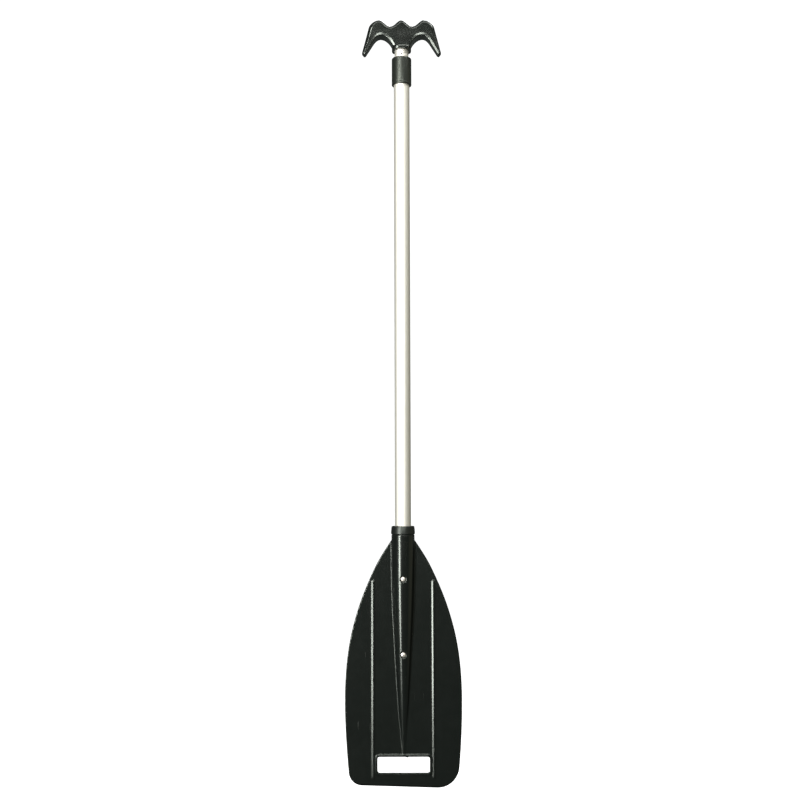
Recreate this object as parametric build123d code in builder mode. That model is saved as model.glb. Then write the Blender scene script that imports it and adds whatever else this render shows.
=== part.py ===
from build123d import *
import os
from math import cos, radians, sin, tan

# A telescopic boat paddle whose grip is also a boat hook, nearly closed and with its twist lock slack.
# The origin is on the shaft's axis, in the middle of its bare length, where a clip holds it. +Z runs up
# the shaft to the grip, X runs across the blade, and -Y is the front. Millimetres throughout.

os.makedirs("parts", exist_ok=True)

# ---- driving dimensions -----------------------------------------------------------------------------
base_z = -850  # the level that heights are measured from, just above the blade's lowest point
tip_z = base_z - 1.3  # the blade's lowest point
grip_top_z = base_z + 1368
shaft_r = 28.575 / 2  # 1-1/8 in tube
inner_r = 25.4 / 2  # 1 in tube
tube_wall = 1.473  # 0.058 in, so that the inner tube slides in the outer one
slide_gap = 0.1  # radial, between the inner tube and what guides it
part_gap = 0.3  # between neighbours that move apart

shaft_bore_r = shaft_r - tube_wall
inner_bore_r = inner_r - tube_wall

# blade
blade_half_width = 102.3
blade_widest_z = base_z + 150
plate_thickness = 5
plate_edge_r = 1.8
shoulder_x = 21.5  # where the plate's edges meet the socket
shoulder_z = base_z + 425
tip_half_width = 93.6
tip_rake = 0.032  # fall of the tip edge for each millimetre to the right
tip_low_x = 58.4  # where the raked tip edge reaches tip_z
tip_left_r = 24
tip_right_r = 38
rib_x = 52.8
rib_width = 7.2
rib_height = 1.3  # of its crest above the plate
rib_crest_r = 1.5
rib_bottom_z = base_z + 14.4
rib_top_z = base_z + 356.4
slot_width = 91
slot_height = 27.8
slot_bottom_z = base_z + 23.9
slot_corner_r = 3.5
slot_rim_width = 4
slot_rim_height = 1
gate_nib_x = 6  # stub of the moulding gate, on the slot's upper edge
gate_nib_r = 2.4

# socket and spine
socket_top_z = base_z + 450.8
socket_r = 20.4
collar_r = 21.3
collar_height = 14.3
collar_top_r = 19.9  # the collar's side curves in towards its top
collar_edge_r = 1.2
collar_groove = 1.2
spine_low_z = base_z + 52
spine_low_r = 2.4
tube_foot_z = base_z + 217
tube_foot_r = 10.3
swage_top_z = base_z + 285
cap_flange = 3
cap_depth = 5

# rivets that hold the blade: height, depth of the seat, and depth of the bulb inside the tube
rivets = [(base_z + 227.9, 12.2, 8.5), (base_z + 358.8, 17.7, 12.3)]
rivet_head_r = 4
rivet_head_height = 1.5
rivet_shank_r = 2
rivet_bulb_r = 3
rivet_bulb_length = 4.2
rivet_seat_r = 5.6
mandrel_r = 1

# guide sleeve
sleeve_bottom_z = base_z + 1248
sleeve_top_z = base_z + 1298.4
sleeve_r = 18
sleeve_top_edge_r = 2.8
sleeve_bottom_edge_r = 1.2
tube_mouth_z = base_z + 1288
guide_ring_height = 5

# grip
neck_z = base_z + 1312.5
neck_ring_r = 17.6
neck_ring_height = 7.3
inner_top_z = base_z + 1328
spigot_bottom_z = base_z + 1290
grip_thickness = 27.5
grip_thick_half_width = 38  # beyond this the prongs get thinner
prong_thickness = 14  # at their ends
valley_x = 20.2
valley_depth = 11.6
side_bump_x = 40.5
hook_half_width = 72
hook_tip_z = base_z + 1302
hook_tip_r = 4
throat_x = 36.9
throat_z = base_z + 1338.5
grip_edge_r = 3.5
neck_chamfer = 1.2
neck_column_r = 15
grip_pin_z = base_z + 1303.6
grip_pin_r = 1.6

# foam floats
shaft_float_bottom_z = base_z + 290
shaft_float_length = 58
inner_float_bottom_z = base_z + 700
inner_float_length = 250
float_gap = 0.2

# twist lock
inner_foot_z = base_z + 440  # the inner tube's lower end
plug_length = 25
plug_flange = 3
plug_pin_r = 1.5
spindle_r = 3
spindle_top_z = base_z + 460
spindle_foot_z = base_z + 386
nut_height = 5
nut_across_flats = 10
washer_r = 9
washer_height = 1.2
expander_r = 12.6
expander_web = 10
finger_slots = 4
finger_slot_width = 2
ring_section_r = 1.2
cone_foot_r = 9.6
cone_length = 16
cone_half_angle = 10  # degrees
cone_lift = 2  # travel that spreads the expander
cone_rise_z = 6  # from the expander's foot to the cone's
key_width = 1.4
insert_r = 4.5


def tube_r(z):
    """Outer radius of the shaft tube, which narrows along its swaged foot."""
    share = min(1, (z - tube_foot_z) / (swage_top_z - tube_foot_z))
    return tube_foot_r + share * (shaft_r - tube_foot_r)


def tip_edge_z(x):
    """Height of the raked tip edge at x."""
    return tip_z + tip_rake * (tip_low_x - x)


# ---- blade ------------------------------------------------------------------------------------------
with BuildPart() as blade:
    # flat plate
    with BuildSketch(Plane.XZ) as outline:
        with BuildLine():
            for side in (1, -1):
                Spline(
                    (side * shoulder_x, shoulder_z),
                    (side * 50.3, base_z + 377.2),
                    (side * 79, base_z + 307.5),
                    (side * 96, base_z + 238),
                    (side * blade_half_width, blade_widest_z),
                    tangents=((side * 0.66, -1), (0, -1)),
                )
                Spline(
                    (side * blade_half_width, blade_widest_z),
                    (side * tip_half_width, tip_edge_z(side * tip_half_width)),
                    tangents=((0, -1), (-side * 0.1, -1)),
                )
            Line(
                (-tip_half_width, tip_edge_z(-tip_half_width)),
                (tip_half_width, tip_edge_z(tip_half_width)),
            )
            Line((-shoulder_x, shoulder_z), (shoulder_x, shoulder_z))
        make_face()
        fillet(outline.vertices().sort_by(Axis.Y)[0], tip_right_r)
        left_corner = outline.vertices().filter_by(lambda v: v.X < 0).sort_by(Axis.Y)[0]
        fillet(left_corner, tip_left_r)
    extrude(amount=plate_thickness / 2, both=True)
    rim = blade.edges().filter_by(lambda e: e.center().Z < shoulder_z - 1)
    fillet(rim.filter_by(lambda e: abs(e.center().Y) > plate_thickness / 2 - 0.01), plate_edge_r)

    # straight side ribs: low ridges on both faces
    rib_crest_y = plate_thickness / 2 + rib_height
    with BuildSketch(Plane.XY.offset(rib_bottom_z)):
        with Locations((rib_x, 0), (-rib_x, 0)):
            Polygon(
                (-rib_width / 2, -plate_thickness / 2),
                (0, -rib_crest_y),
                (rib_width / 2, -plate_thickness / 2),
                (rib_width / 2, plate_thickness / 2),
                (0, rib_crest_y),
                (-rib_width / 2, plate_thickness / 2),
            )
    extrude(amount=rib_top_z - rib_bottom_z)
    rib_crests = blade.edges().filter_by(Axis.Z).filter_by(lambda e: abs(e.center().Y) > rib_crest_y - 0.01)
    fillet(rib_crests, rib_crest_r)

    # rim of the hand slot
    slot_centre = (0, slot_bottom_z + slot_height / 2)
    with BuildSketch(Plane.XZ):
        with Locations(slot_centre):
            RectangleRounded(
                slot_width + 2 * slot_rim_width,
                slot_height + 2 * slot_rim_width,
                slot_corner_r + slot_rim_width,
            )
    extrude(amount=plate_thickness / 2 + slot_rim_height, both=True)

    # socket and tapering spine, round the shaft
    with BuildSketch(Plane.XZ):
        with BuildLine():
            Spline(
                (spine_low_r, spine_low_z),
                (9.3, base_z + 143),
                (14.8, base_z + 240),
                (18.9, base_z + 325),
                (socket_r, socket_top_z - collar_height - collar_groove),
            )
            Polyline(
                (socket_r, socket_top_z - collar_height - collar_groove),
                (socket_r, socket_top_z - collar_height),
                (collar_r, socket_top_z - collar_height),
            )
            ThreePointArc(
                (collar_r, socket_top_z - collar_height),
                (collar_r - 0.35, socket_top_z - collar_height / 2),
                (collar_top_r, socket_top_z),
            )
            Polyline(
                (collar_top_r, socket_top_z),
                (0, socket_top_z),
                (0, spine_low_z),
                (spine_low_r, spine_low_z),
            )
        make_face()
    revolve(axis=Axis.Z)
    collar_edge = blade.edges().filter_by(GeomType.CIRCLE).sort_by(Axis.Z)[-1]
    fillet(collar_edge, collar_edge_r)

    # bore for the swaged tube and its cap
    with BuildSketch(Plane.XZ):
        with BuildLine():
            Polyline(
                (0, tube_foot_z - cap_flange),
                (tube_foot_r, tube_foot_z - cap_flange),
                (tube_foot_r, tube_foot_z),
                (shaft_r, swage_top_z),
                (shaft_r, socket_top_z),
                (0, socket_top_z),
                close=True,
            )
        make_face()
    revolve(axis=Axis.Z, mode=Mode.SUBTRACT)

    # hand slot
    with BuildSketch(Plane.XZ):
        with Locations(slot_centre):
            RectangleRounded(slot_width, slot_height, slot_corner_r)
    extrude(amount=collar_r, both=True, mode=Mode.SUBTRACT)
    with BuildSketch(Plane.XZ):
        with Locations((gate_nib_x, slot_bottom_z + slot_height + gate_nib_r / 3)):
            Circle(gate_nib_r)
    extrude(amount=plate_thickness / 2, both=True)

    # rivet holes and their sunk seats
    for rivet_z, seat_depth, _ in rivets:
        with BuildSketch(Plane((0, -seat_depth, rivet_z), x_dir=(1, 0, 0), z_dir=(0, -1, 0))):
            Circle(rivet_seat_r)
        extrude(amount=collar_r, mode=Mode.SUBTRACT)
        with BuildSketch(Plane((0, 0, rivet_z), x_dir=(1, 0, 0), z_dir=(0, -1, 0))):
            Circle(rivet_shank_r)
        extrude(amount=collar_r, mode=Mode.SUBTRACT)
blade.part.label = "blade"
export_step(blade.part, "parts/blade.step")


# ---- outer tube -------------------------------------------------------------------------------------
with BuildPart() as shaft_tube:
    with BuildSketch(Plane.XZ):
        with BuildLine():
            Polyline(
                (tube_foot_r, tube_foot_z),
                (shaft_r, swage_top_z),
                (shaft_r, tube_mouth_z),
                (shaft_bore_r, tube_mouth_z),
                (shaft_bore_r, swage_top_z),
                (tube_foot_r - tube_wall, tube_foot_z),
                close=True,
            )
        make_face()
    revolve(axis=Axis.Z)
    for rivet_z, _, _ in rivets:
        with BuildSketch(Plane((0, 0, rivet_z), x_dir=(1, 0, 0), z_dir=(0, -1, 0))):
            Circle(rivet_shank_r)
        extrude(amount=shaft_r, mode=Mode.SUBTRACT)
shaft_tube.part.label = "shaft_tube"
export_step(shaft_tube.part, "parts/shaft_tube.step")

with BuildPart() as tube_end_plug:
    with BuildSketch(Plane.XZ):
        with BuildLine():
            Polyline(
                (0, tube_foot_z - cap_flange),
                (tube_foot_r, tube_foot_z - cap_flange),
                (tube_foot_r, tube_foot_z),
                (tube_foot_r - tube_wall, tube_foot_z),
                (tube_r(tube_foot_z + cap_depth) - tube_wall, tube_foot_z + cap_depth),
                (0, tube_foot_z + cap_depth),
                close=True,
            )
        make_face()
    revolve(axis=Axis.Z)
tube_end_plug.part.label = "tube_end_plug"
export_step(tube_end_plug.part, "parts/tube_end_plug.step")

with BuildPart() as shaft_float:
    with BuildSketch(Plane.XY.offset(shaft_float_bottom_z)):
        Circle(shaft_bore_r - float_gap)
    extrude(amount=shaft_float_length)
    chamfer(shaft_float.edges(), 1)
shaft_float.part.label = "shaft_float"
export_step(shaft_float.part, "parts/shaft_float.step")


# ---- blind rivets, and the stems left in them ---------------------------------------------------------
with BuildPart() as blade_rivets:
    for rivet_z, seat_depth, bulb_depth in rivets:
        with BuildSketch(Plane.YZ) as section:
            with BuildLine():
                Polyline(
                    (-seat_depth, rivet_z + rivet_shank_r),
                    (-seat_depth, rivet_z + rivet_head_r),
                    (-seat_depth - 0.4, rivet_z + rivet_head_r),
                )
                ThreePointArc(
                    (-seat_depth - 0.4, rivet_z + rivet_head_r),
                    (-seat_depth - 1.2, rivet_z + rivet_head_r * 0.62),
                    (-seat_depth - rivet_head_height, rivet_z + mandrel_r),
                )
                Polyline(
                    (-seat_depth - rivet_head_height, rivet_z + mandrel_r),
                    (rivet_bulb_length - bulb_depth, rivet_z + mandrel_r),
                    (rivet_bulb_length - bulb_depth, rivet_z + rivet_shank_r),
                    (-bulb_depth + 1, rivet_z + rivet_bulb_r),
                    (-bulb_depth, rivet_z + rivet_bulb_r),
                    (-bulb_depth, rivet_z + rivet_shank_r),
                    (-seat_depth, rivet_z + rivet_shank_r),
                )
            make_face()
        revolve(axis=Axis((0, 0, rivet_z), (0, 1, 0)))
blade_rivets.part.label = "blade_rivets"
export_step(blade_rivets.part, "parts/blade_rivets.step")

with BuildPart() as rivet_mandrels:
    for rivet_z, seat_depth, bulb_depth in rivets:
        stem_top = seat_depth + rivet_head_height - 0.5
        stem_foot = bulb_depth - rivet_bulb_length
        with BuildSketch(Plane((0, -stem_foot, rivet_z), x_dir=(1, 0, 0), z_dir=(0, -1, 0))):
            Circle(mandrel_r)
        extrude(amount=stem_top - stem_foot)
        with BuildSketch(Plane((0, -stem_foot, rivet_z), x_dir=(1, 0, 0), z_dir=(0, 1, 0))):
            Circle(rivet_shank_r)
        extrude(amount=1.5)
rivet_mandrels.part.label = "rivet_mandrels"
export_step(rivet_mandrels.part, "parts/rivet_mandrels.step")


# ---- guide sleeve on the tube's mouth -----------------------------------------------------------------
with BuildPart() as guide_sleeve:
    with BuildSketch(Plane.XY.offset(sleeve_bottom_z)):
        Circle(sleeve_r)
    extrude(amount=sleeve_top_z - sleeve_bottom_z)
    fillet(guide_sleeve.edges().sort_by(Axis.Z)[-1], sleeve_top_edge_r)
    fillet(guide_sleeve.edges().filter_by(GeomType.CIRCLE).sort_by(Axis.Z)[0], sleeve_bottom_edge_r)
    with BuildSketch(Plane.XY.offset(sleeve_bottom_z)):
        Circle(shaft_r)
    extrude(amount=tube_mouth_z + guide_ring_height - sleeve_bottom_z, mode=Mode.SUBTRACT)
    with BuildSketch(Plane.XY.offset(sleeve_bottom_z)):
        Circle(inner_r + slide_gap)
    extrude(amount=sleeve_top_z - sleeve_bottom_z, mode=Mode.SUBTRACT)
guide_sleeve.part.label = "guide_sleeve"
export_step(guide_sleeve.part, "parts/guide_sleeve.step")

with BuildPart() as guide_ring:
    with BuildSketch(Plane.XY.offset(tube_mouth_z)):
        Circle(shaft_r)
        Circle(inner_r + slide_gap, mode=Mode.SUBTRACT)
    extrude(amount=guide_ring_height)
guide_ring.part.label = "guide_ring"
export_step(guide_ring.part, "parts/guide_ring.step")


# ---- inner tube ---------------------------------------------------------------------------------------
with BuildPart() as inner_tube:
    with BuildSketch(Plane.XY.offset(inner_foot_z)):
        Circle(inner_r)
        Circle(inner_bore_r, mode=Mode.SUBTRACT)
    extrude(amount=inner_top_z - inner_foot_z)
    with BuildSketch(Plane.XZ):
        with Locations((0, grip_pin_z)):
            Circle(grip_pin_r)
        with Locations((0, inner_foot_z + plug_length / 2)):
            Circle(plug_pin_r)
    extrude(amount=inner_r, both=True, mode=Mode.SUBTRACT)
inner_tube.part.label = "inner_tube"
export_step(inner_tube.part, "parts/inner_tube.step")

with BuildPart() as inner_float:
    with BuildSketch(Plane.XY.offset(inner_float_bottom_z)):
        Circle(inner_bore_r - float_gap)
    extrude(amount=inner_float_length)
    chamfer(inner_float.edges(), 1)
inner_float.part.label = "inner_float"
export_step(inner_float.part, "parts/inner_float.step")

# each pin's ends are dressed flush with the tube
for name, pin_z, pin_r in (
    ("grip_pin", grip_pin_z, grip_pin_r),
    ("lock_plug_pin", inner_foot_z + plug_length / 2, plug_pin_r),
):
    with BuildPart() as pin:
        with BuildSketch(Plane.XZ):
            with Locations((0, pin_z)):
                Circle(pin_r)
        extrude(amount=inner_r, both=True)
        with BuildSketch(Plane.XY.offset(pin_z - pin_r)):
            Circle(inner_r)
        extrude(amount=2 * pin_r, mode=Mode.INTERSECT)
    pin.part.label = name
    export_step(pin.part, f"parts/{name}.step")


# ---- grip with two finger valleys and two hook prongs ---------------------------------------------------
def prong_tip(side, degrees):
    """A point on the round end of a prong, at an angle above the outward direction."""
    centre = (hook_half_width - hook_tip_r, hook_tip_z + hook_tip_r)
    x = centre[0] + hook_tip_r * cos(radians(degrees))
    return (side * x, centre[1] + hook_tip_r * sin(radians(degrees)))


shoulder = (60, base_z + 1353)  # where the rounded shoulder turns into the prong's straight back
back_angle = 13.5  # lean of that back, in degrees
throat_angle = -150  # where the prong's round end turns into the throat

with BuildPart() as hook_grip:
    with BuildSketch(Plane.XZ):
        with BuildLine():
            for side in (1, -1):
                Spline(
                    (0, grip_top_z),
                    (side * valley_x, grip_top_z - valley_depth),
                    (side * side_bump_x, grip_top_z),
                    (side * shoulder[0], shoulder[1]),
                    tangents=((side, 0), (side, 0), (side, 0), (side * tan(radians(back_angle)), -1)),
                )
                Line((side * shoulder[0], shoulder[1]), prong_tip(side, back_angle))
                ThreePointArc(
                    prong_tip(side, back_angle),
                    prong_tip(side, (back_angle + throat_angle) / 2),
                    prong_tip(side, throat_angle),
                )
                Spline(
                    prong_tip(side, throat_angle),
                    (side * 55.5, base_z + 1319.5),
                    (side * throat_x, throat_z),
                    (side * neck_ring_r, neck_z + neck_ring_height),
                    tangents=((-side * 0.5, 0.87), (-side * 0.5, 0.87), (-side, 0), (-side * 0.35, -1)),
                )
            Line(
                (-neck_ring_r, neck_z + neck_ring_height),
                (neck_ring_r, neck_z + neck_ring_height),
            )
        make_face()
    extrude(amount=grip_thickness / 2, both=True)
    # seen from above, the prongs get thinner towards their ends
    taper_end_x = hook_half_width + 1
    with BuildSketch(Plane.XY.offset(hook_tip_z - 1)):
        Polygon(
            (-grip_thick_half_width, -grip_thickness / 2),
            (grip_thick_half_width, -grip_thickness / 2),
            (taper_end_x, -prong_thickness / 2),
            (taper_end_x, prong_thickness / 2),
            (grip_thick_half_width, grip_thickness / 2),
            (-grip_thick_half_width, grip_thickness / 2),
            (-taper_end_x, prong_thickness / 2),
            (-taper_end_x, -prong_thickness / 2),
        )
    extrude(amount=grip_top_z - hook_tip_z + 2, mode=Mode.INTERSECT)
    grip_rims = hook_grip.faces().filter_by(lambda f: abs(f.normal_at().Y) > 0.5).edges()
    fillet(grip_rims.filter_by(lambda e: abs(abs(e.center().X) - grip_thick_half_width) > 0.01), grip_edge_r)

    # neck ring, and the column above it
    with BuildSketch(Plane.XZ):
        with BuildLine():
            Polyline(
                (0, neck_z),
                (neck_ring_r - neck_chamfer, neck_z),
                (neck_ring_r, neck_z + neck_chamfer),
                (neck_ring_r, neck_z + neck_ring_height - neck_chamfer),
                (neck_ring_r - neck_chamfer, neck_z + neck_ring_height),
                (neck_column_r, neck_z + neck_ring_height),
                (grip_thickness / 2, inner_top_z + 4),
                (0, inner_top_z + 4),
                close=True,
            )
        make_face()
    revolve(axis=Axis.Z)

    # pocket for the inner tube, and the spigot inside it
    with BuildSketch(Plane.XY.offset(neck_z)):
        Circle(inner_r)
        Circle(inner_bore_r, mode=Mode.SUBTRACT)
    extrude(amount=inner_top_z - neck_z, mode=Mode.SUBTRACT)
    with BuildSketch(Plane.XY.offset(spigot_bottom_z)):
        Circle(inner_bore_r)
    extrude(amount=neck_z - spigot_bottom_z)
    with BuildSketch(Plane.XZ):
        with Locations((0, grip_pin_z)):
            Circle(grip_pin_r)
    extrude(amount=inner_r, both=True, mode=Mode.SUBTRACT)
hook_grip.part.label = "hook_grip"
export_step(hook_grip.part, "parts/hook_grip.step")


# ---- twist lock: the fixed half, on the inner tube --------------------------------------------------------
flange_z = inner_foot_z - plug_flange
expander_top_z = flange_z - part_gap
washer_z = spindle_foot_z + nut_height
expander_foot_z = washer_z + washer_height + part_gap

with BuildPart() as lock_plug:
    with BuildSketch(Plane.XY.offset(flange_z)):
        Circle(expander_r)
    extrude(amount=plug_flange)
    with BuildSketch(Plane.XY.offset(inner_foot_z)):
        Circle(inner_bore_r)
    extrude(amount=plug_length)
    chamfer(lock_plug.edges().sort_by(Axis.Z)[-1], 1)
    with BuildSketch(Plane.XY.offset(flange_z)):
        Circle(spindle_r)
    extrude(amount=spindle_top_z - flange_z, mode=Mode.SUBTRACT)
    with BuildSketch(Plane.XZ):
        with Locations((0, inner_foot_z + plug_length / 2)):
            Circle(plug_pin_r)
    extrude(amount=inner_r, both=True, mode=Mode.SUBTRACT)
lock_plug.part.label = "lock_plug"
export_step(lock_plug.part, "parts/lock_plug.step")

with BuildPart() as lock_spindle:
    with BuildSketch(Plane.XY.offset(spindle_foot_z)):
        Circle(spindle_r)
    extrude(amount=spindle_top_z - spindle_foot_z)
    chamfer(lock_spindle.edges().group_by(Axis.Z)[0], 0.6)
    with BuildSketch(Plane.XZ):
        with Locations((0, inner_foot_z + plug_length / 2)):
            Circle(plug_pin_r)
    extrude(amount=inner_r, both=True, mode=Mode.SUBTRACT)
lock_spindle.part.label = "lock_spindle"
export_step(lock_spindle.part, "parts/lock_spindle.step")

with BuildPart() as spindle_nut:
    with BuildSketch(Plane.XY.offset(spindle_foot_z)):
        RegularPolygon(nut_across_flats / 2, 6, major_radius=False)
        Circle(spindle_r, mode=Mode.SUBTRACT)
    extrude(amount=nut_height)
spindle_nut.part.label = "spindle_nut"
export_step(spindle_nut.part, "parts/spindle_nut.step")

with BuildPart() as spindle_washer:
    with BuildSketch(Plane.XY.offset(washer_z)):
        Circle(washer_r)
        Circle(spindle_r, mode=Mode.SUBTRACT)
    extrude(amount=washer_height)
spindle_washer.part.label = "spindle_washer"
export_step(spindle_washer.part, "parts/spindle_washer.step")


# ---- twist lock: the expander that drags on the outer tube ------------------------------------------------
cone_foot_z = expander_foot_z + cone_rise_z
cone_slope = tan(radians(cone_half_angle))
cone_clearance = (cone_lift + 0.6) * cone_slope  # radial, while the lock is slack


def cone_r(z):
    """The cone's radius at height z, at rest."""
    return cone_foot_r - (z - cone_foot_z) * cone_slope


with BuildPart() as expander_sleeve:
    cavity_top_z = expander_top_z - expander_web
    ring_z = expander_top_z - expander_web / 2
    with BuildSketch(Plane.XY.offset(expander_foot_z)):
        Circle(expander_r)
    extrude(amount=expander_top_z - expander_foot_z)
    chamfer(expander_sleeve.edges().filter_by(GeomType.CIRCLE), 0.6)
    with BuildSketch(Plane.XZ):
        with BuildLine():
            Polyline(
                (0, expander_foot_z),
                (cone_foot_r + cone_clearance + 0.3, expander_foot_z),
                (cone_foot_r + cone_clearance, cone_foot_z),
                (cone_r(cavity_top_z) + cone_clearance, cavity_top_z),
                (0, cavity_top_z),
                close=True,
            )
        make_face()
    revolve(axis=Axis.Z, mode=Mode.SUBTRACT)
    with BuildSketch(Plane.XY.offset(cavity_top_z)):
        Circle(spindle_r + part_gap)
    extrude(amount=expander_web, mode=Mode.SUBTRACT)
    # slots that part the fingers
    with BuildSketch(Plane.XY.offset(expander_foot_z)):
        with PolarLocations(0, finger_slots // 2, angular_range=180):
            Rectangle(2 * expander_r, finger_slot_width)
    extrude(amount=cavity_top_z - expander_foot_z, mode=Mode.SUBTRACT)
    # groove for the drag ring
    with BuildSketch(Plane.XY.offset(ring_z - ring_section_r)):
        Circle(expander_r)
        Circle(inner_r - 2 * ring_section_r, mode=Mode.SUBTRACT)
    extrude(amount=2 * ring_section_r, mode=Mode.SUBTRACT)
expander_sleeve.part.label = "expander_sleeve"
export_step(expander_sleeve.part, "parts/expander_sleeve.step")

with BuildPart() as drag_ring:
    with BuildSketch(Plane.XZ):
        with Locations((inner_r - ring_section_r, ring_z)):
            Circle(ring_section_r)
    revolve(axis=Axis.Z)
drag_ring.part.label = "drag_ring"
export_step(drag_ring.part, "parts/drag_ring.step")


# ---- twist lock: the cone that is drawn into the expander -------------------------------------------------
with BuildPart() as cone_nut:
    with BuildSketch(Plane.XZ):
        with BuildLine():
            Polyline(
                (insert_r, cone_foot_z),
                (cone_foot_r, cone_foot_z),
                (cone_r(cone_foot_z + cone_length), cone_foot_z + cone_length),
                (insert_r, cone_foot_z + cone_length),
                close=True,
            )
        make_face()
    revolve(axis=Axis.Z)
    # keys that ride in the expander's slots
    with BuildSketch(Plane.XY.offset(cone_foot_z)):
        with PolarLocations((insert_r + expander_r - 1) / 2, finger_slots):
            Rectangle(expander_r - 1 - insert_r, key_width)
    extrude(amount=cone_length / 2)
    with BuildSketch(Plane.XY.offset(cone_foot_z)):
        Circle(insert_r)
    extrude(amount=cone_length, mode=Mode.SUBTRACT)
cone_nut.part.label = "cone_nut"
export_step(cone_nut.part, "parts/cone_nut.step")

with BuildPart() as thread_insert:
    with BuildSketch(Plane.XY.offset(cone_foot_z)):
        Circle(insert_r)
        Circle(spindle_r + slide_gap, mode=Mode.SUBTRACT)
    extrude(amount=cone_length)
thread_insert.part.label = "thread_insert"
export_step(thread_insert.part, "parts/thread_insert.step")
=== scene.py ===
import math

import bpy
import numpy as np
from mathutils import Matrix, Vector


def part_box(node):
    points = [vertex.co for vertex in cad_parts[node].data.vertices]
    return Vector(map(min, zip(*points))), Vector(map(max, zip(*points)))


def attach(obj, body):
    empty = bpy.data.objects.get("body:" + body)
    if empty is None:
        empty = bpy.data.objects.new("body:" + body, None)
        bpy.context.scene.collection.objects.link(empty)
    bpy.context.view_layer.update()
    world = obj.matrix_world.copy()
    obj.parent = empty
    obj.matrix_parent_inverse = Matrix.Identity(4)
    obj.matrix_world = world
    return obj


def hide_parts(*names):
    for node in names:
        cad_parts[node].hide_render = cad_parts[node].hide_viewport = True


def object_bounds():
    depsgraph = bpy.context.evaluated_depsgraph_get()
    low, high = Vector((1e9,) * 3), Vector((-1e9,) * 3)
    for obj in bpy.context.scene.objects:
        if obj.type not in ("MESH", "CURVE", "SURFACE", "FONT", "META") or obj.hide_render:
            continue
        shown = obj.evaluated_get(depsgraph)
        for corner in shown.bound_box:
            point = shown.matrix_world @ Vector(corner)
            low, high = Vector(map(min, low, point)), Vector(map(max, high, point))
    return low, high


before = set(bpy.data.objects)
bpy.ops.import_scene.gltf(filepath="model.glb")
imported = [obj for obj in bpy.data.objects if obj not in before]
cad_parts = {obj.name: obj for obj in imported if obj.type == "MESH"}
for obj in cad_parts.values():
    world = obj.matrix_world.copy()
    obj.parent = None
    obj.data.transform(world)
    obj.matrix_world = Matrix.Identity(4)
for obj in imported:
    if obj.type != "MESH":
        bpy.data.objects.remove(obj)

# Shapes are worked out in millimetres, with heights measured up from a level just above the blade's tip.
CAD_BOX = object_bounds()
MM = 0.001
COLLAR_TOP = 450.8
BASE = round(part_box("blade")[1].z / MM - COLLAR_TOP, 1)


# ---- outlines ----------------------------------------------------------------------------------------
def curve(points, directions, steps=14):
    """Points along a smooth curve through the given points, with its direction at each of them."""
    found = []
    for p, q, t, u in zip(points, points[1:], directions, directions[1:]):
        p, q, t, u = (np.array(v, float) for v in (p, q, t, u))
        reach = np.linalg.norm(q - p)
        t, u = reach * t / np.linalg.norm(t), reach * u / np.linalg.norm(u)
        for s in np.arange(steps) / steps:
            at_p, at_q = 2 * s**3 - 3 * s**2 + 1, 3 * s**2 - 2 * s**3
            found.append(at_p * p + at_q * q + (s**3 - 2 * s**2 + s) * t + (s**3 - s**2) * u)
    return found + [np.array(points[-1], float)]


def arc(centre, radius, start, end, steps=10):
    """Points along an arc, with its angles in degrees."""
    angles = np.radians(np.linspace(start, end, steps))
    return [np.array(centre) + radius * np.array((math.cos(a), math.sin(a))) for a in angles]


def flipped(points):
    return [p * (-1, 1) for p in points]


def rounded(corners):
    """A closed profile from corners (x, z, radius), with each corner rounded."""
    found = []
    for before, (x, z, radius), after in zip(corners[-1:] + corners, corners, corners[1:] + corners[:1]):
        here = np.array((x, z), float)
        into, out = np.array(before[:2]) - here, np.array(after[:2]) - here
        reach = min(radius, 0.45 * np.linalg.norm(into), 0.45 * np.linalg.norm(out))
        if reach < 0.01:
            found.append(here)
            continue
        start, end = here + into * reach / np.linalg.norm(into), here + out * reach / np.linalg.norm(out)
        shares = np.linspace(0, 1, 6)
        found.extend((1 - s) ** 2 * start + 2 * s * (1 - s) * here + s**2 * end for s in shares)
    return found


# ---- fields: negative inside a shape, positive outside, in millimetres -------------------------------
def path_distance(x, z, path, closed=False):
    path = np.array(path)
    ends = np.roll(path, -1, axis=0) if closed else path[1:]
    least = np.full(np.broadcast(x, z).shape, np.inf)
    for p, q in zip(path, ends):
        along = q - p
        length = along @ along
        if length < 1e-9:
            continue
        s = np.clip(((x - p[0]) * along[0] + (z - p[1]) * along[1]) / length, 0, 1)
        least = np.minimum(least, (x - p[0] - s * along[0]) ** 2 + (z - p[1] - s * along[1]) ** 2)
    return np.sqrt(least)


def outline_depth(x, z, outline):
    """How far inside a closed outline each point is; negative outside it."""
    inside = np.zeros(np.broadcast(x, z).shape, bool)
    for p, q in zip(outline, np.roll(outline, -1, axis=0)):
        if p[1] != q[1]:
            spans = (p[1] > z) != (q[1] > z)
            inside ^= spans & (x < p[0] + (z - p[1]) * (q[0] - p[0]) / (q[1] - p[1]))
    distance = path_distance(x, z, outline, closed=True)
    return np.where(inside, distance, -distance)


def box_depth(x, z, centre, half, corner):
    """How far inside a rounded rectangle each point is; negative outside it."""
    a, b = np.abs(x - centre[0]) - half[0] + corner, np.abs(z - centre[1]) - half[1] + corner
    return corner - np.hypot(np.maximum(a, 0), np.maximum(b, 0)) - np.minimum(np.maximum(a, b), 0)


def meet(a, b, edge):
    """Where both shapes are, with the edge between them rounded."""
    outer = np.hypot(np.maximum(a + edge, 0), np.maximum(b + edge, 0))
    return outer + np.minimum(np.maximum(a + edge, b + edge), 0) - edge


def slab(depth, y, half, edge):
    """A plate with an outline, given the depth inside it, and rounded edges."""
    return meet(-depth, np.abs(y) - half, edge)


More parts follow.
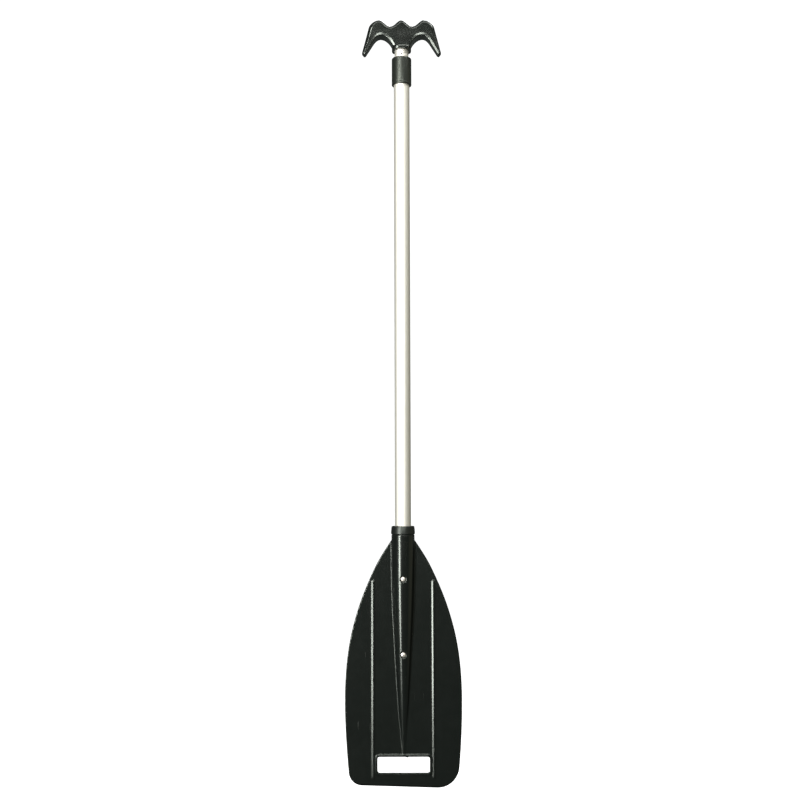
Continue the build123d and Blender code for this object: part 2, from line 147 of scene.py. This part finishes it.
def rod(x, y, z, radius, low, high, edge=0.3):
    """A round bar along Z with rounded ends."""
    return meet(np.hypot(x, y) - radius, np.abs(z - (low + high) / 2) - (high - low) / 2, edge)


def join(a, b, blend):
    """Both shapes, with a fillet where they meet."""
    share = np.clip(0.5 + 0.5 * (b - a) / blend, 0, 1)
    return b + (a - b) * share - blend * share * (1 - share)


def cut(a, b, blend):
    """The first shape less the second, with a rounded edge."""
    return -join(-a, b, blend)


def ramp(value, low, high):
    """0 below low, 1 above high, and smooth between them."""
    s = np.clip((value - low) / (high - low), 0, 1)
    return s * s * (3 - 2 * s)


# ---- meshes ------------------------------------------------------------------------------------------
def lines(*zones):
    """Grid lines over zones (start, end, spacing) that follow each other."""
    found = []
    for start, end, spacing in zones:
        found.extend(np.linspace(start, end, max(1, round((end - start) / spacing)), endpoint=False))
    return np.array(found + [zones[-1][1]])


def both_sides(positive):
    """Grid lines on both sides of zero, which is the first of them."""
    return np.concatenate([-positive[:0:-1], positive])


def solid(name, points, faces, normals=None, crease=40):
    """A mesh object, smooth but for the edges sharper than an angle in degrees."""
    mesh = bpy.data.meshes.new(name)
    mesh.from_pydata([tuple(p) for p in points], [], faces)
    mesh.validate()
    mesh.polygons.foreach_set("use_smooth", [True] * len(mesh.polygons))
    mesh.set_sharp_from_angle(angle=math.radians(crease))
    mesh.update()
    if normals is not None:
        for edge in mesh.edges:
            if edge.use_edge_sharp:
                normals[list(edge.vertices)] = 0
        mesh.normals_split_custom_set_from_vertices(normals)
    piece = bpy.data.objects.new(name, mesh)
    bpy.context.scene.collection.objects.link(piece)
    return piece


def skin(name, field, xs, ys, zs):
    """The closed surface where a field is zero, with one point in each grid cell that it crosses."""
    value = field(xs[:, None, None], ys[None, :, None], zs[None, None, :])
    value = np.broadcast_to(value, (len(xs), len(ys), len(zs)))
    inside = (value < 0).astype(np.int8)
    grid = (xs, ys, zs)
    steps = [(i, j, k) for i in (0, 1) for j in (0, 1) for k in (0, 1)]
    sizes = [n - 1 for n in value.shape]
    corners = sum(inside[i : i + sizes[0], j : j + sizes[1], k : k + sizes[2]] for i, j, k in steps)
    cells = np.argwhere((corners > 0) & (corners < 8))
    number = np.full(sizes, -1)
    number[tuple(cells.T)] = np.arange(len(cells))

    # each point starts at the mean of the crossings on its cell's edges
    total, count = np.zeros((len(cells), 3)), np.zeros((len(cells), 1))
    for axis in range(3):
        for step in steps:
            if step[axis]:
                continue
            near = cells + step
            far = near + np.eye(3, dtype=int)[axis]
            a, b = value[tuple(near.T)], value[tuple(far.T)]
            crosses = (a < 0) != (b < 0)
            share = np.where(crosses, a / np.where(crosses, a - b, 1), 0)
            at = np.stack([grid[n][near[:, n]] for n in range(3)], axis=1)
            at[:, axis] += share * (grid[axis][far[:, axis]] - at[:, axis])
            total += at * crosses[:, None]
            count += crosses[:, None]
    points = total / count

    # then it moves onto the surface, without leaving its cell
    low = np.stack([grid[n][cells[:, n]] for n in range(3)], axis=1)
    high = np.stack([grid[n][cells[:, n] + 1] for n in range(3)], axis=1)
    probe = 0.02
    for _ in range(3):
        here = field(*points.T)
        slope = np.stack([(field(*(points + probe * n).T) - here) / probe for n in np.eye(3)], axis=1)
        size = np.maximum((slope**2).sum(axis=1), 0.25)
        points = np.clip(points - slope * (here / size)[:, None], low, high)

    faces = []
    for axis in range(3):
        second, third = (axis + 1) % 3, (axis + 2) % 3
        inner = [slice(1, -1)] * 3
        inner[axis] = slice(None)
        change = np.diff(inside, axis=axis)
        edges = np.argwhere(change[tuple(inner)])
        edges[:, second] += 1
        edges[:, third] += 1
        ring = []
        for b, c in ((1, 1), (0, 1), (0, 0), (1, 0)):
            cell = edges.copy()
            cell[:, second] -= b
            cell[:, third] -= c
            ring.append(number[tuple(cell.T)])
        quads = np.stack(ring, axis=1)
        leaving = change[tuple(edges.T)] < 0
        quads[~leaving] = quads[~leaving][:, ::-1]
        faces.extend(quads.tolist())
    here = field(*points.T)
    normals = np.stack([field(*(points + probe * n).T) - here for n in np.eye(3)], axis=1)
    normals /= np.maximum(np.linalg.norm(normals, axis=1), 1e-9)[:, None]
    return solid(name, (points + (0, 0, BASE)) * MM, faces, normals, crease=62)


def lathe(name, profile, at=(0, 0, 0), along=(0, 0, 1), segments=128):
    """A turned solid from a closed profile of (radius, height), stood at a place and along a direction."""
    turn = Vector(along).to_track_quat("Z", "Y").to_matrix()
    rows, points, faces = len(profile), [], []
    for s in range(segments):
        angle = 2 * math.pi * s / segments
        for radius, height in profile:
            spot = turn @ Vector((radius * math.cos(angle), radius * math.sin(angle), height))
            points.append((spot + Vector(at) + Vector((0, 0, BASE))) * MM)
        after = (s + 1) % segments
        for r in range(rows):
            up = (r + 1) % rows
            faces.append((s * rows + r, after * rows + r, after * rows + up, s * rows + up))
    return solid(name, points, faces)


def place(piece, body, slot, *nodes):
    """Rides a finished piece on its body in place of CAD nodes; the slot argument is not used."""
    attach(piece, body)
    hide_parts(*nodes)


# ---- grip --------------------------------------------------------------------------------------------
GRIP_TOP = 1367.9
GRIP_HALF, PRONG_HALF = 27.5 / 2, 14 / 2
THICK_X, PRONG_END_X = 38, 72
NECK_FOOT = 1312.5
RING_R = 17.6
RING_TOP = 1319.8
PRONG_TIP = (68, 1306)
POCKET_R, POCKET_TOP = 12.74, 1328
SPIGOT_R, SPIGOT_FOOT = 11.18, 1290
GRIP_PIN_Z = 1303.6
PIN_HOLE_R = 1.7
THROAT_EDGE, BACK_EDGE = 1.4, 7.4
BEVEL_WIDTH, BEVEL_SLOPE = 4.4, 0.23
FACE_DISH = 0.5
RING_CONE, RING_SLOPE, RING_EDGE = 2.8, 0.34, 0.8

back = curve(
    [(0, GRIP_TOP), (20.2, GRIP_TOP - 11.6), (40.5, GRIP_TOP), (60, 1353)],
    [(1, 0), (1, 0), (1, 0), (0.24, -1)],
)
prong = arc(PRONG_TIP, 4, 13.5, -150)
throat = curve(
    [tuple(prong[-1]), (55.5, 1319.5), (36.9, 1338.5), (15.6, RING_TOP - 2)],
    [(-0.5, 0.87), (-0.5, 0.87), (-1, 0), (-0.35, -1)],
)
right = back + prong + throat[1:]
grip_outline = np.array(right + flipped(right[:0:-1]))
soft_side, crisp_side = back + prong[:5], prong[5:] + throat


def grip_field(x, y, z):
    """The moulded grip: soft along its back, with crisp bevelled throats, and a neck ring below it."""
    side = np.abs(x)
    depth = outline_depth(x, z, grip_outline)
    to_soft, to_crisp = path_distance(side, z, soft_side), path_distance(side, z, crisp_side)
    softness = ramp(to_crisp / (to_soft + to_crisp + 1e-6), 0.3, 0.75)
    edge = THROAT_EDGE + (BACK_EDGE - THROAT_EDGE) * softness
    bevel = BEVEL_SLOPE * np.maximum(BEVEL_WIDTH - to_crisp, 0)
    thinning = ramp(side, THICK_X - 12, PRONG_END_X + 8)
    half = GRIP_HALF - (GRIP_HALF - PRONG_HALF) * thinning - bevel / 2
    front = FACE_DISH * ramp(z, 1352, 1332) - GRIP_HALF + bevel
    body = slab(depth, y - front - half, half, np.minimum(edge, half - 1))

    # the ring is a little squarer than a circle, and its top is a cone
    ring_r = RING_R - RING_SLOPE * np.maximum(z - RING_TOP + RING_CONE, 0)
    ring = (side**3 + np.abs(y) ** 3) ** (1 / 3) - ring_r
    middle, reach = (NECK_FOOT + RING_TOP) / 2, (RING_TOP - NECK_FOOT) / 2
    body = join(body, meet(ring, np.abs(z - middle) - reach, RING_EDGE), 0.6)

    # the inner tube's pocket, and the spigot that fills the tube
    body = np.maximum(body, -rod(x, y, z, POCKET_R, NECK_FOOT - 30, POCKET_TOP))
    spigot = rod(x, y, z, SPIGOT_R, SPIGOT_FOOT, POCKET_TOP + 3, edge=0.8)
    pin_hole = np.hypot(x, z - GRIP_PIN_Z) - PIN_HOLE_R
    return np.minimum(body, np.maximum(spigot, -pin_hole))


grip = skin(
    "grip",
    grip_field,
    both_sides(lines((0, 74, 0.8))),
    both_sides(lines((0, 11.2, 0.8), (11.2, 14.4, 0.4), (14.4, 19, 0.8))),
    lines((SPIGOT_FOOT - 1.5, 1311, 0.8), (1311, 1322, 0.5), (1322, GRIP_TOP + 2, 0.8)),
)
place(grip, "hook_handle", "grip_plastic", "hook_grip")


# ---- blade -------------------------------------------------------------------------------------------
PLATE_HALF = 2.5
WIDEST = (102.3, 150)
RIB_X, RIB_LOW, RIB_HIGH, RIB_HALF, RIB_RISE = 52.8, 14.4, 356.4, 3.1, 1.15
SLOT_MID, SLOT_HALF, SLOT_CORNER = (0, 37.8), (45.5, 13.9), 3.5
SPINE_TOP, COLLAR_FOOT = 435.3, 436.5
TUBE_R, TUBE_FOOT_R = 14.2875, 10.3
TUBE_FOOT, SWAGE_TOP = 217, 285
RIVET_SEATS = ((227.9, 12.2), (358.8, 17.7))
SEAT_R, SHANK_R = 5.6, 2.05
TIP_RAKE, TIP_LOW_X, TIP_FALL, TIP_HALF_WIDTH = 0.032, 58.4, 1.3, 93.6
SPINE_MID, SPINE_REACH = 245, 193
COLLAR_R, COLLAR_TAPER = 21.2, 1.4
BORE_GAP = 0.04
NIB_AT, NIB_R = (6, 52.5), 2.4


def tip_z(x):
    """Height of the raked tip edge."""
    return TIP_RAKE * (TIP_LOW_X - x) - TIP_FALL


def blade_side(side, radius):
    """One side of the outline, drawn on the right, from the shoulder to a tip corner of that radius."""
    corner = np.array((TIP_HALF_WIDTH, tip_z(TIP_HALF_WIDTH * side)))
    up, across = np.array((0.092, 1)), np.array((-1, TIP_RAKE * side))
    up, across = up / np.linalg.norm(up), across / np.linalg.norm(across)
    half = math.acos(up @ across) / 2
    start, end = corner + up * radius / math.tan(half), corner + across * radius / math.tan(half)
    middle = (up + across) / np.linalg.norm(up + across)
    centre = corner + middle * radius / math.sin(half)
    first, last = (math.degrees(math.atan2(*(p - centre)[::-1])) for p in (start, end))
    long_edge = curve(
        [(21.5, 425), (50.3, 377.2), (79, 307.5), (96, 238), WIDEST, tuple(start)],
        [(0.66, -1), (0.48, -1), (0.325, -1), (0.155, -1), (0, -1), (-0.092, -1)],
    )
    return long_edge[:-1] + arc(centre, radius, first, last, steps=12)


blade_outline = np.array(blade_side(1, 38) + flipped(blade_side(-1, 24)[::-1]))
spine_line = np.array(
    curve(
        [(2.4, 52), (9.3, 143), (14.8, 240), (18.9, 325), (20.4, SPINE_TOP)],
        [(0.07, 1), (0.067, 1), (0.052, 1), (0.032, 1), (0.004, 1)],
    )
)


def blade_field(x, y, z):
    """The moulded blade: plate, ribs, hand slot, spine, socket and collar, with its bore and rivet seats."""
    depth = outline_depth(x, z, blade_outline)
    half = np.minimum(PLATE_HALF, 1.5 + 0.3 * (z - tip_z(x)))
    body = slab(depth, y, half, 1.1)
    to_rib = np.hypot(np.abs(x) - RIB_X, z - np.clip(z, RIB_LOW + RIB_HALF, RIB_HIGH - RIB_HALF))
    rib = np.abs(y) - PLATE_HALF - RIB_RISE * (1.1 - np.hypot(to_rib, 0.35) / RIB_HALF)
    body = join(body, np.maximum(rib, to_rib - RIB_HALF - 0.6), 0.3)
    rim = box_depth(x, z, SLOT_MID, np.add(SLOT_HALF, 4), SLOT_CORNER + 4)
    body = join(body, slab(rim, y, PLATE_HALF + 1, 0.8), 1)
    around = np.hypot(x, y)
    spine_r = np.interp(z, spine_line[:, 1], spine_line[:, 0])
    spine = np.maximum(around - spine_r, np.abs(z - SPINE_MID) - SPINE_REACH)
    body = join(body, spine, 2)
    groove = np.maximum(19.6 - around, np.abs(z - 435.9) - 0.8)
    body = cut(body, groove, 0.5)
    collar_share = np.clip((z - COLLAR_FOOT - 1) / (COLLAR_TOP - COLLAR_FOOT), 0, 1)
    collar_r = COLLAR_R - COLLAR_TAPER * collar_share**1.8
    body = join(body, rod(x, y, z, collar_r, COLLAR_FOOT, COLLAR_TOP, edge=1.2), 0.3)
    slot = box_depth(x, z, SLOT_MID, SLOT_HALF, SLOT_CORNER)
    body = cut(body, -slot, 0.9)
    nib = slab(NIB_R - np.hypot(x - NIB_AT[0], z - NIB_AT[1]), y, PLATE_HALF - 0.3, 0.8)
    body = join(body, nib, 0.8)
    swage = np.clip((z - TUBE_FOOT) / (SWAGE_TOP - TUBE_FOOT), 0, 1)
    bore_r = TUBE_FOOT_R + (TUBE_R - TUBE_FOOT_R) * swage + BORE_GAP
    body = cut(body, np.maximum(around - bore_r, TUBE_FOOT - 3 - BORE_GAP - z), 0.4)
    for seat_z, seat_depth in RIVET_SEATS:
        seat = np.maximum(np.hypot(x, z - seat_z) - SEAT_R, seat_depth + y)
        body = cut(body, seat, 0.4)
        shank = np.maximum(np.hypot(x, z - seat_z) - SHANK_R, y)
        body = np.maximum(body, -shank)
    return body


blade = skin(
    "blade",
    blade_field,
    both_sides(
        lines((0, 22, 1), (22, 46, 3.4), (46, 48.6, 1), (48.6, 57, 0.65), (57, 92, 3.5), (92, 104, 1.2))
    ),
    both_sides(lines((0, 5.6, 0.56), (5.6, 22.4, 1.05))),
    lines(
        (-2.5, 8, 0.8), (8, 20, 1.6), (20, 54, 1), (54, 220, 2.4), (220, 236, 0.8), (236, 350, 2.3),
        (350, 368, 0.8), (368, 430, 2.2), (430, 452, 0.75),
    ),
)
place(blade, "paddle", "blade_plastic", "blade")


# ---- turned pieces -----------------------------------------------------------------------------------
sleeve_profile = rounded(
    [
        (14.33, 1248, 0.1), (17.3, 1248, 1), (18, 1249.2, 0.8), (18, 1251.3, 0.5), (17.6, 1251.8, 0.3),
        (17.6, 1252.6, 0.3), (17.9, 1253.4, 0.6), (17.9, 1298.4, 2.4), (12.84, 1298.4, 0.4),
        (12.84, 1293.04, 0), (14.33, 1293.04, 0),
    ]
)
sleeve = lathe("guide_cover", sleeve_profile)
place(sleeve, "paddle", "sleeve_rubber", "guide_sleeve")

pin_profile = rounded([(0.9, -12.3, 0.1), (1.58, -12.3, 0.3), (1.58, 12.3, 0.3), (0.9, 12.3, 0.1)])
pin = lathe("hollow_grip_pin", pin_profile, at=(0, 0, GRIP_PIN_Z), along=(0, 1, 0), segments=48)
place(pin, "hook_handle", "pin_steel", "grip_pin")


# ---- materials ---------------------------------------------------------------------------------------
def mark_wear(piece):
    """Stores how far each point stands out from its neighbours, for wear along edges."""
    mesh = piece.data
    points, normals = np.empty(len(mesh.vertices) * 3), np.empty(len(mesh.vertices) * 3)
    mesh.vertices.foreach_get("co", points)
    mesh.vertices.foreach_get("normal", normals)
    ends = np.empty(len(mesh.edges) * 2, np.int32)
    mesh.edges.foreach_get("vertices", ends)
    points, normals, ends = points.reshape(-1, 3), normals.reshape(-1, 3), ends.reshape(-1, 2)
    total, count = np.zeros(len(points)), np.zeros(len(points))
    for a, b in (ends.T, ends.T[::-1]):
        gap = points[a] - points[b]
        bend = (gap * normals[a]).sum(axis=1) / np.maximum((gap**2).sum(axis=1), 1e-12)
        np.add.at(total, a, bend * MM)
        np.add.at(count, a, 1)
    attribute = mesh.attributes.new("wear", "FLOAT", "POINT")
    attribute.data.foreach_set("value", np.clip(total / np.maximum(count, 1), -1, 1))


class Finish:
    """A procedural material on a principled shader, with its patterns in the object's own space."""

    def __init__(self, name, **constants):
        self.material = bpy.data.materials.new(name)
        self.material.use_nodes = True
        self.tree = self.material.node_tree
        self.shader = self.tree.nodes["Principled BSDF"]
        for socket, number in constants.items():
            self.shader.inputs[socket.replace("_", " ")].default_value = number
        self.place = self.tree.nodes.new("ShaderNodeTexCoord").outputs["Object"]

    def link(self, source, target):
        self.tree.links.new(source, target)

    def noise(self, scale, detail=3, rough=0.5, stretch=(1, 1, 1), turn=(0, 0, 0), warp=0):
        """Cloudy noise with that many features to the metre; a small stretch makes it long along that axis."""
        mapping = self.tree.nodes.new("ShaderNodeMapping")
        mapping.inputs["Scale"].default_value = stretch
        mapping.inputs["Rotation"].default_value = turn
        self.link(self.place, mapping.inputs["Vector"])
        node = self.tree.nodes.new("ShaderNodeTexNoise")
        settings = {"Scale": scale, "Detail": detail, "Roughness": rough, "Distortion": warp}
        for socket, number in settings.items():
            node.inputs[socket].default_value = number
        self.link(mapping.outputs["Vector"], node.inputs["Vector"])
        return node.outputs["Fac"]

    def cells(self, scale):
        """Distance to the nearest cell's middle, with that many cells to the metre."""
        node = self.tree.nodes.new("ShaderNodeTexVoronoi")
        node.inputs["Scale"].default_value = scale
        self.link(self.place, node.inputs["Vector"])
        return node.outputs["Distance"]

    def between(self, source, low, high, to_low=0.0, to_high=1.0):
        """Moves the range low to high of a source onto another range, and holds it at the ends."""
        node = self.tree.nodes.new("ShaderNodeMapRange")
        node.interpolation_type = "SMOOTHSTEP"
        settings = {"From Min": low, "From Max": high, "To Min": to_low, "To Max": to_high}
        for socket, number in settings.items():
            node.inputs[socket].default_value = number
        self.link(source, node.inputs["Value"])
        return node.outputs["Result"]

    def times(self, a, b):
        node = self.tree.nodes.new("ShaderNodeMath")
        node.operation = "MULTIPLY"
        for source, socket in zip((a, b), node.inputs):
            if isinstance(source, float):
                socket.default_value = source
            else:
                self.link(source, socket)
        return node.outputs["Value"]

    def height(self):
        """Height in the object's space, in metres."""
        node = self.tree.nodes.new("ShaderNodeSeparateXYZ")
        self.link(self.place, node.inputs["Vector"])
        return node.outputs["Z"]

    def wear(self):
        node = self.tree.nodes.new("ShaderNodeAttribute")
        node.attribute_name = "wear"
        return node.outputs["Fac"]

    def colours(self, share, low, high):
        """A colour, or a source of one, mixed into another by a share."""
        node = self.tree.nodes.new("ShaderNodeMix")
        node.data_type = "RGBA"
        self.link(share, node.inputs["Factor"])
        for source, socket in ((low, node.inputs[6]), (high, node.inputs[7])):
            if isinstance(source, tuple):
                socket.default_value = (*source, 1)
            else:
                self.link(source, socket)
        return node.outputs[2]

    def numbers(self, share, low, high):
        node = self.tree.nodes.new("ShaderNodeMix")
        self.link(share, node.inputs["Factor"])
        for source, socket in ((low, node.inputs["A"]), (high, node.inputs["B"])):
            if isinstance(source, float):
                socket.default_value = source
            else:
                self.link(source, socket)
        return node.outputs["Result"]

    def bump(self, source, depth):
        """Relief of a depth in millimetres, over any relief already there."""
        node = self.tree.nodes.new("ShaderNodeBump")
        node.inputs["Distance"].default_value = depth * MM
        node.inputs["Strength"].default_value = 1
        self.link(source, node.inputs["Height"])
        normal = self.shader.inputs["Normal"]
        if normal.links:
            self.link(normal.links[0].from_socket, node.inputs["Normal"])
        self.link(node.outputs["Normal"], normal)

    def base(self, source):
        self.link(source, self.shader.inputs["Base Color"])

    def roughness(self, source):
        self.link(source, self.shader.inputs["Roughness"])

    def put_on(self, *targets):
        for target in targets:
            materials = target.data.materials
            if len(materials):
                materials[0] = self.material
            else:
                materials.append(self.material)


MATT = 0.4


def moulded_plastic(name, dark, light, rough, scuffed, gloss, matt_above=None):
    """Black moulded plastic: faint flow marks, fine texture, hairline scratches, and scuffs on proud edges.

    Between the two heights of matt_above, if it has any, the surface turns from satin to matt.
    """
    finish = Finish(name, Specular_IOR_Level=gloss, Specular_Tint=(0.93, 1, 0.9, 1))
    tone = finish.colours(finish.noise(14, 4, 0.6, stretch=(1, 1, 0.45), warp=0.6), dark, light)
    hairs = finish.noise(520, 2, 0.5, stretch=(1, 1, 0.035), turn=(0, 0.5, 0.2))
    marks = finish.times(finish.between(hairs, 0.66, 0.74), finish.between(finish.noise(22), 0.56, 0.7))
    patches = finish.between(finish.noise(90, 4), 0.45, 0.62)
    edges = finish.times(finish.between(finish.wear(), 0.1, 0.3), patches)
    worn = finish.colours(finish.times(marks, 0.2), tone, scuffed)
    finish.base(finish.colours(finish.times(edges, 0.2), worn, scuffed))
    sheen = finish.numbers(finish.noise(60, 5, 0.65), rough - 0.05, rough + 0.07)
    if matt_above:
        sheen = finish.numbers(finish.between(finish.height(), *matt_above), sheen, MATT)
    finish.roughness(finish.numbers(marks, sheen, min(1.0, rough + 0.25)))
    finish.bump(finish.noise(650, 2, 0.5), 0.007)
    finish.bump(finish.noise(110, 2), 0.03)
    return finish


mark_wear(blade)
mark_wear(grip)

blade_plastic = moulded_plastic(
    "blade_plastic", (0.0022, 0.0029, 0.0025), (0.004, 0.005, 0.0043), 0.21, (0.12, 0.12, 0.112), 0.5,
    matt_above=[(BASE + COLLAR_FOOT + z) * MM for z in (-0.1, 0.7)],
)
blade_plastic.put_on(blade)

grip_plastic = moulded_plastic(
    "grip_plastic", (0.0016, 0.002, 0.0017), (0.0036, 0.0042, 0.0037), 0.21, (0.10, 0.105, 0.098), 0.82,
)
grip_plastic.put_on(grip)

sleeve_rubber = Finish("sleeve_rubber", Specular_IOR_Level=0.7, Specular_Tint=(0.93, 1, 0.86, 1))
sleeve_rubber.base(
    sleeve_rubber.colours(sleeve_rubber.noise(35, 4), (0.003, 0.0037, 0.003), (0.0055, 0.0065, 0.0053))
)
sleeve_rubber.roughness(sleeve_rubber.numbers(sleeve_rubber.noise(180, 4, 0.7), 0.36, 0.46))
sleeve_rubber.bump(sleeve_rubber.noise(2600, 2, 0.6), 0.03)
sleeve_rubber.put_on(sleeve)

aluminium = Finish("tube_aluminium", Metallic=1.0)
drawn = aluminium.noise(900, 4, 0.7, stretch=(1, 1, 0.004))
aluminium.base(
    aluminium.colours(aluminium.noise(26, 3, stretch=(1, 1, 0.08)), (0.79, 0.765, 0.69), (0.87, 0.85, 0.775))
)
aluminium.roughness(aluminium.numbers(drawn, 0.56, 0.66))
aluminium.bump(drawn, 0.012)
aluminium.put_on(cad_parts["shaft_tube"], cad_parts["inner_tube"])

rivet_aluminium = Finish("rivet_aluminium", Metallic=1.0)
rivet_aluminium.base(
    rivet_aluminium.colours(rivet_aluminium.noise(400, 3), (0.78, 0.73, 0.64), (0.88, 0.84, 0.76))
)
rivet_aluminium.roughness(rivet_aluminium.numbers(rivet_aluminium.noise(900, 4), 0.42, 0.56))
rivet_aluminium.bump(rivet_aluminium.noise(1800, 3), 0.02)
rivet_aluminium.put_on(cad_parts["blade_rivets"])


def metal(name, dark, light, rough, stretch=(1, 1, 1)):
    """Machined metal, with its tool lines across the stretched axis."""
    finish = Finish(name, Metallic=1.0)
    grain = finish.noise(1100, 4, 0.7, stretch=stretch)
    finish.base(finish.colours(finish.noise(160, 3), dark, light))
    finish.roughness(finish.numbers(grain, rough, rough + 0.16))
    finish.bump(grain, 0.015)
    return finish


# The mandrels' steel is painted nearly black: painted shade standing in for the dark hollow in the middle of
# each rivet.
metal("rivet_steel", (0.05, 0.048, 0.046), (0.12, 0.115, 0.11), 0.45).put_on(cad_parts["rivet_mandrels"])
steel = metal("pin_steel", (0.34, 0.335, 0.33), (0.52, 0.515, 0.50), 0.28)
steel_nodes = ("lock_plug_pin", "lock_spindle", "spindle_washer", "spindle_nut")
steel.put_on(pin, *(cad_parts[n] for n in steel_nodes))
brass = metal("brass", (0.56, 0.38, 0.13), (0.74, 0.54, 0.22), 0.24, (0.05, 0.05, 1))
brass.put_on(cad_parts["thread_insert"])

nylon = Finish("nylon", Specular_IOR_Level=0.5, Subsurface_Weight=0.15, Subsurface_Scale=0.002)
nylon.base(nylon.colours(nylon.noise(90, 4), (0.55, 0.54, 0.49), (0.68, 0.67, 0.62)))
nylon.roughness(nylon.numbers(nylon.noise(300, 4), 0.38, 0.5))
nylon.bump(nylon.noise(1400, 3), 0.02)
nylon.put_on(
    *(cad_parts[n] for n in ("guide_ring", "tube_end_plug", "expander_sleeve", "lock_plug", "cone_nut"))
)

ring_rubber = Finish("ring_rubber", Specular_IOR_Level=0.4)
ring_rubber.base(ring_rubber.colours(ring_rubber.noise(400, 3), (0.012, 0.012, 0.012), (0.022, 0.022, 0.021)))
ring_rubber.roughness(ring_rubber.numbers(ring_rubber.noise(700, 4), 0.5, 0.66))
ring_rubber.bump(ring_rubber.noise(2400, 3), 0.02)
ring_rubber.put_on(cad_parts["drag_ring"])

foam = Finish("foam", Specular_IOR_Level=0.3)
foam.base(foam.colours(foam.noise(120, 4), (0.70, 0.70, 0.67), (0.82, 0.82, 0.79)))
foam.roughness(foam.numbers(foam.noise(300, 3), 0.75, 0.9))
foam.bump(foam.cells(620), 0.35)
foam.put_on(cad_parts["shaft_float"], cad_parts["inner_float"])


# ---- studio ------------------------------------------------------------------------------------------
def softbox(name, azimuth, height, size, brightness, colour=(1, 1, 1), distance=2.5, down=0):
    """A soft light that faces the shaft from an azimuth, right positive, and looks down, in degrees."""
    data = bpy.data.lights.new(name, "AREA")
    data.shape = "RECTANGLE"
    data.size, data.size_y = size
    data.energy = brightness * math.pi * size[0] * size[1]
    data.color = colour
    light = bpy.data.objects.new(name, data)
    turn = math.radians(azimuth)
    light.location = (distance * math.sin(turn), -distance * math.cos(turn), height)
    light.rotation_euler = (math.pi / 2 - math.radians(down), 0, turn)
    light.visible_camera = False
    bpy.context.scene.collection.objects.link(light)


softbox("key_low", -36, -0.25, (0.45, 1.9), 34)
softbox("key_high", -25, 1.3, (0.5, 1.2), 26)
softbox("front", 4, 0.45, (0.75, 0.6), 19)
softbox("right_strip", 33, 0.05, (0.12, 0.7), 5, (1, 0.93, 0.75))
softbox("right_top", 64, 1.6, (0.45, 0.5), 12, distance=1.0, down=48)
softbox("overhead", 4, 1.9, (1.5, 0.35), 6, distance=0.95, down=56)
softbox("back", 165, 2.7, (1.2, 0.8), 9, down=45)
softbox("right_fill", 85, 0.3, (2.4, 3.0), 0.22, (1, 0.92, 0.64))

world = bpy.data.worlds.new("studio")
world.use_nodes = True
sky = world.node_tree.nodes["Background"]
sky.inputs["Color"].default_value = (0.9, 1.0, 0.94, 1)
sky.inputs["Strength"].default_value = 0.12
bpy.context.scene.world = world

white = bpy.data.materials.new("studio_white")
white.use_nodes = True
white_shader = white.node_tree.nodes["Principled BSDF"]
white_shader.inputs["Base Color"].default_value = (0.9, 0.9, 0.9, 1)
white_shader.inputs["Roughness"].default_value = 0.9
white_shader.inputs["Emission Color"].default_value = (1, 1, 1, 1)
white_shader.inputs["Emission Strength"].default_value = 1.0


def backdrop(name, points, faces):
    """Part of the plain white room, which neither lights the object nor shades it."""
    room = solid(name, points, faces)
    room.data.materials.append(white)
    room.visible_diffuse = room.visible_glossy = room.visible_transmission = room.visible_shadow = False


ROOM = 30
FLOOR = CAD_BOX[0].z - 0.3
square = [(x * ROOM, y * ROOM) for x, y in ((-1, -1), (1, -1), (1, 1), (-1, 1))]
backdrop("floor", [(x, y, FLOOR) for x, y in square], [(0, 1, 2, 3)])
backdrop(
    "room",
    [(x, y, z) for z in (FLOOR - 5, ROOM) for x, y in square],
    [(4, 5, 6, 7), (0, 1, 5, 4), (1, 2, 6, 5), (2, 3, 7, 6), (3, 0, 4, 7)],
)

camera = bpy.data.objects.new("camera", bpy.data.cameras.new("camera"))
camera.data.lens, camera.data.sensor_width = 51.75, 36
camera.data.clip_start, camera.data.clip_end = 0.1, 200
camera.matrix_world = (
    Matrix.Translation((-0.0046, -2.0436, -0.3367))
    @ Matrix.Rotation(math.radians(94.5), 4, "X")
    @ Matrix.Rotation(math.radians(-0.17), 4, "Z")
)
bpy.context.scene.collection.objects.link(camera)
bpy.context.scene.camera = camera
bpy.context.scene.view_settings.view_transform = "Standard"
